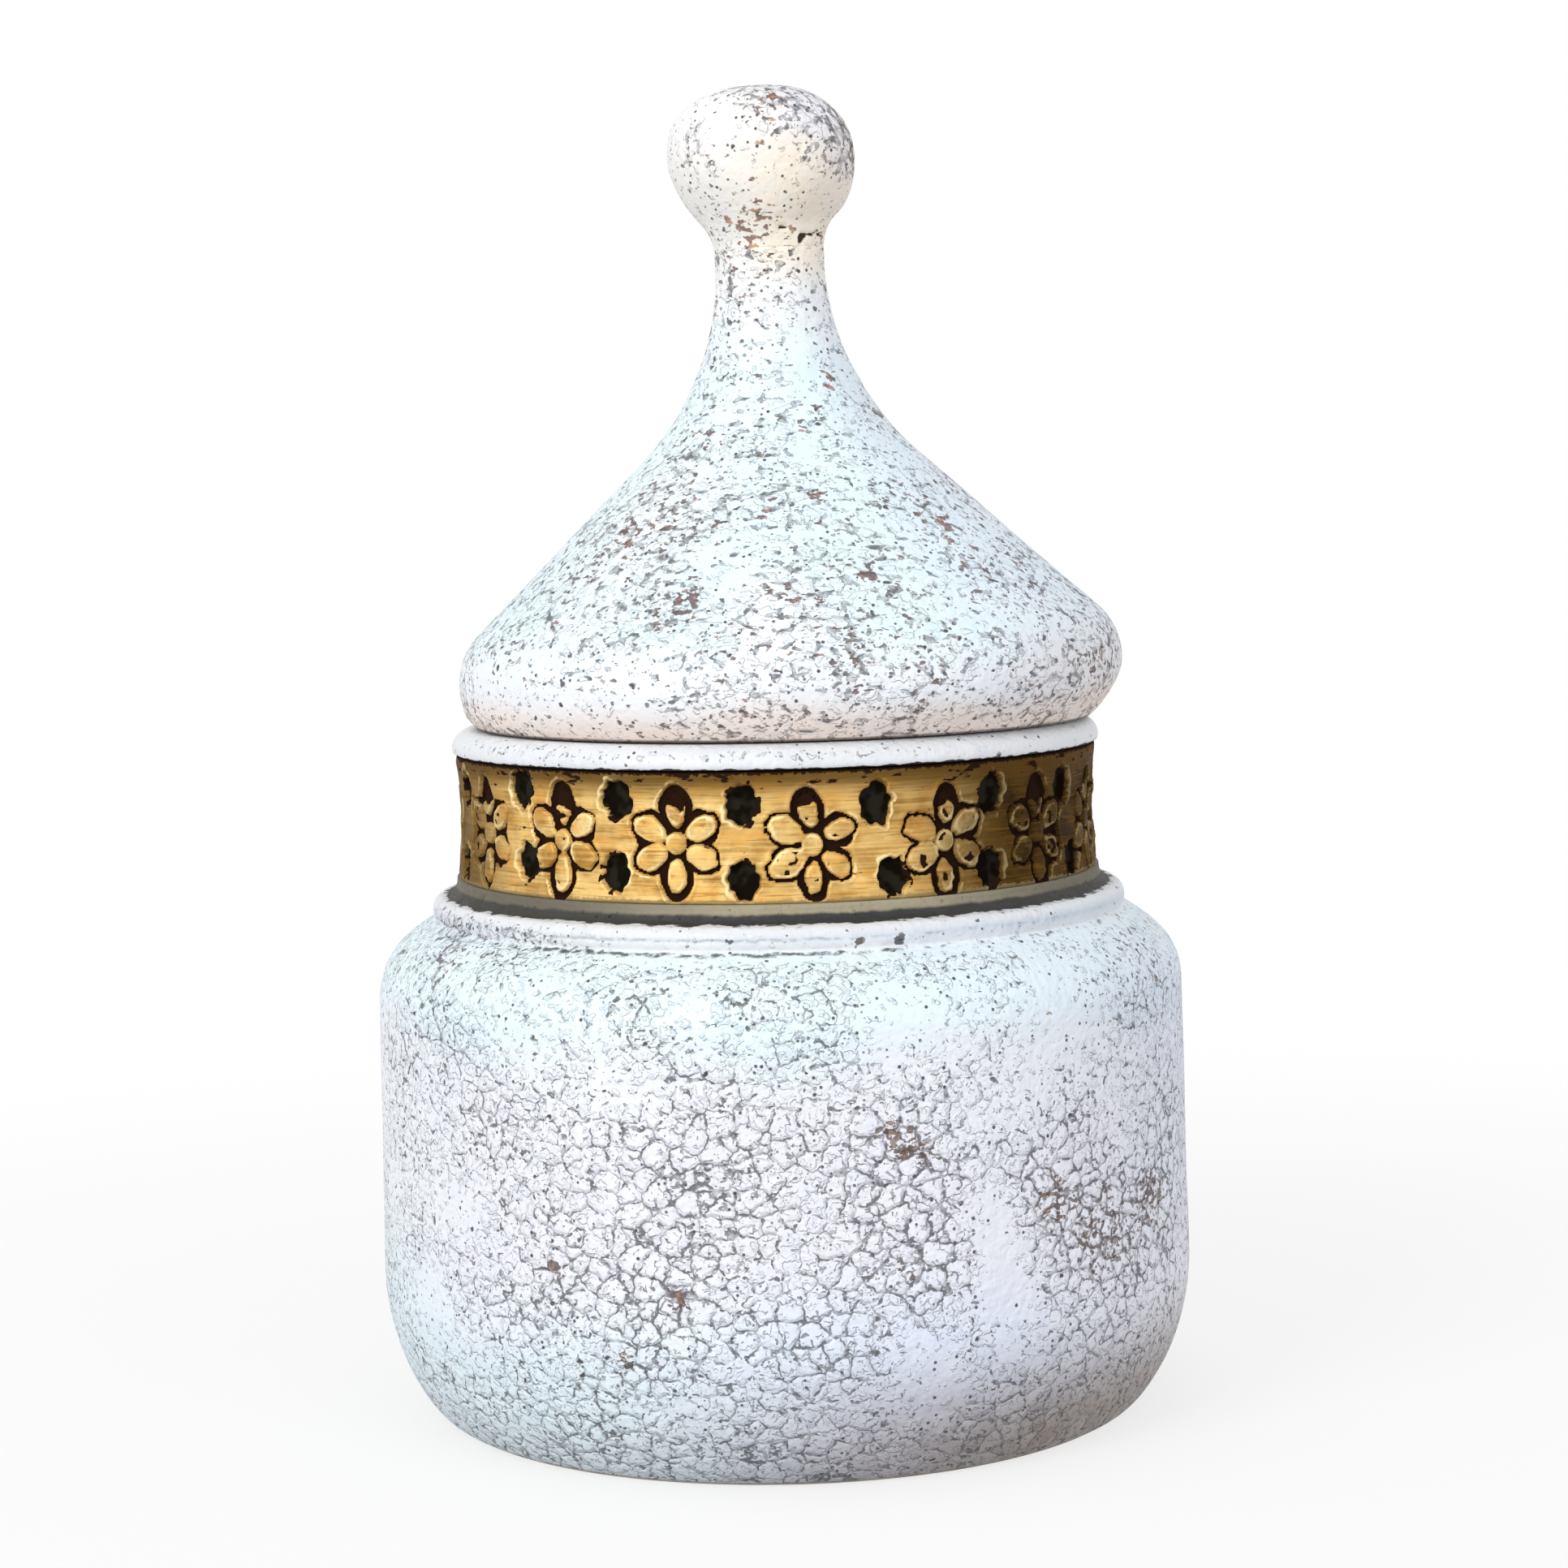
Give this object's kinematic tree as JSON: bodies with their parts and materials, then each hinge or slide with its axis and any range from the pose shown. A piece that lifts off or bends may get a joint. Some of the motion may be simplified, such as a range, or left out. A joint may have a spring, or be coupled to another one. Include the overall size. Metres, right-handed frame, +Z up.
{
  "type": "lidded jar",
  "caption": "Round-bellied stoneware storage jar with a stamped gilded neck band and a lift-off conical lid with a ball knob.",
  "frame": {"origin": "on the ground, at the centre of the foot", "axes": "+Z up through the lid, -Y towards the front, +X to the right of the front"},
  "size_m": [0.1548, 0.1548, 0.2501],
  "materials": {
    "white_glaze": "satin white glaze with a fine dark crackle and pinholes",
    "gilded_glaze": "brushed gold lustre over dark clay, worn dark in the hollows",
    "bare_clay": "unglazed fired stoneware"
  },
  "bodies": {
    "jar": {"jar_body": "white_glaze", "neck_band": "gilded_glaze"},
    "lid": {"lid_dome": "white_glaze", "lid_flange": "bare_clay", "lid_knob": "white_glaze"}
  },
  "joints": [
    {"name": "lid_lift", "type": "slide", "parent": "jar", "child": "lid", "axis": [0, 0, 1], "range_m": [0, 0.15]}
  ]
}
